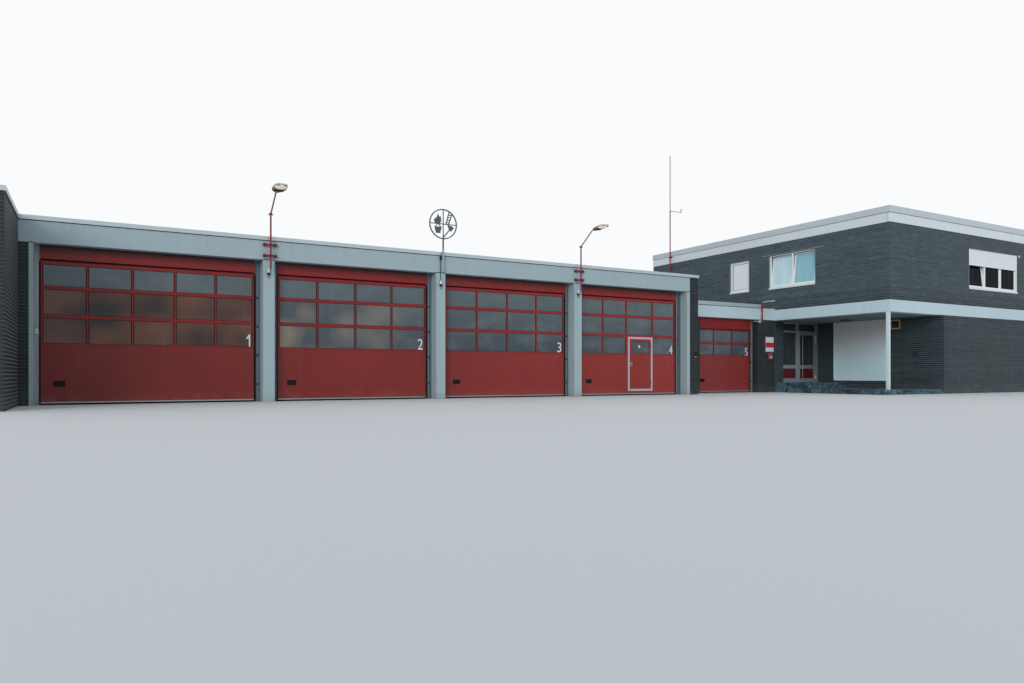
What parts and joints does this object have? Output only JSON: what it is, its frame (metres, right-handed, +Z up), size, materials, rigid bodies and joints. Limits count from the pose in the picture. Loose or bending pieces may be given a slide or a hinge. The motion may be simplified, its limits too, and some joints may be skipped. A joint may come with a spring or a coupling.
{
  "type": "fire station building",
  "caption": "Flat-roofed fire station: brick vehicle hall with red sectional doors, a lower link, and a two-storey office with a porch.",
  "frame": {"origin": "centre of the building's bounding box at ground level", "axes": "+X along the street front from the vehicle hall to the office, +Y from the street to the rear, +Z up"},
  "size_m": [39.702, 16.58, 12.03],
  "materials": {
    "aluminium": "anodised, satin",
    "coping_metal": "coated sheet, satin",
    "dark_brick": "fair-faced anthracite brick, matt",
    "dark_red_panel": "satin lacquer",
    "door_glass": "double plastic pane, clear",
    "emblem_grey": "matt",
    "fitting_plastic": "satin",
    "grey_concrete": "painted concrete, matt",
    "guide_steel": "galvanised and greyed",
    "handle_steel": "brushed",
    "hatch_wood": "varnished",
    "lamp_grey": "satin",
    "lamp_red": "weathered gloss",
    "mast_paint": "weathered",
    "red_panel": "satin lacquer",
    "roof_felt": "bitumen felt, gritty",
    "screed": "smoothed cement",
    "shutter_white": "satin",
    "soffit_white": "painted plaster, matt",
    "step_stone": "rough exposed aggregate",
    "white_boards": "painted boards",
    "white_metal": "satin",
    "white_panel": "weathered white coating",
    "white_plastic": "satin",
    "window_glass": "clear"
  },
  "bodies": {
    "building": {"antenna_mast": "mast_paint", "bay_door_1": "red_panel", "bay_door_2": "red_panel", "bay_door_3": "red_panel", "bay_door_4": "red_panel", "boarded_panel": "white_boards", "bracket_post": "lamp_red", "canopy_band": "grey_concrete", "door_bottom_rails": "aluminium", "door_glazing": "door_glass", "door_guides": "guide_steel", "door_lintels": "red_panel", "emblem": "emblem_grey", "entrance_frame": "aluminium", "entrance_glass": "window_glass", "entrance_panel": "dark_red_panel", "front_jambs": "dark_brick", "hall_coping": "coping_metal", "hall_fascia": "grey_concrete", "hall_left_wall": "dark_brick", "hall_rear_wall": "dark_brick", "hall_right_wall": "dark_brick", "hall_roof": "roof_felt", "lamp_heads": "lamp_grey", "lamp_poles": "lamp_red", "link_coping": "coping_metal", "link_door": "red_panel", "link_fascia": "grey_concrete", "link_pillar": "dark_brick", "link_rear_wall": "dark_brick", "link_roof": "roof_felt", "office_floor": "screed", "office_front_wall": "dark_brick", "office_left_wall": "dark_brick", "office_rear_wall": "dark_brick", "office_right_wall": "dark_brick", "office_roof": "roof_felt", "piers": "grey_concrete", "porch_back_wall": "dark_brick", "porch_column": "white_metal", "porch_side_wall": "dark_brick", "porch_steps": "step_stone", "roller_shutter": "shutter_white", "roof_coping": "coping_metal", "roof_fascia": "white_panel", "side_hatch": "hatch_wood", "upper_floor": "soffit_white", "vehicle_floors": "screed", "wall_fittings": "fitting_plastic", "wicket_frame": "white_metal", "window_frames": "white_plastic", "window_glass": "window_glass", "window_sashes": "white_plastic"},
    "wicket_door": {"wicket_leaf": "red_panel", "wicket_glass": "door_glass", "wicket_fittings": "handle_steel"},
    "entrance_door": {"entrance_door": "aluminium", "entrance_door_glass": "window_glass", "entrance_door_panel": "dark_red_panel", "entrance_door_fittings": "handle_steel"}
  },
  "joints": [
    {"name": "wicket_hinge", "type": "hinge", "parent": "building", "child": "wicket_door", "pos_m": [0.272, -3.921, 1.2], "axis": [0, 0, 1], "range_deg": [0, 90]},
    {"name": "entrance_hinge", "type": "hinge", "parent": "building", "child": "entrance_door", "pos_m": [11.49, -2.349, 1.5], "axis": [0, 0, 1], "range_deg": [0, 90]}
  ]
}
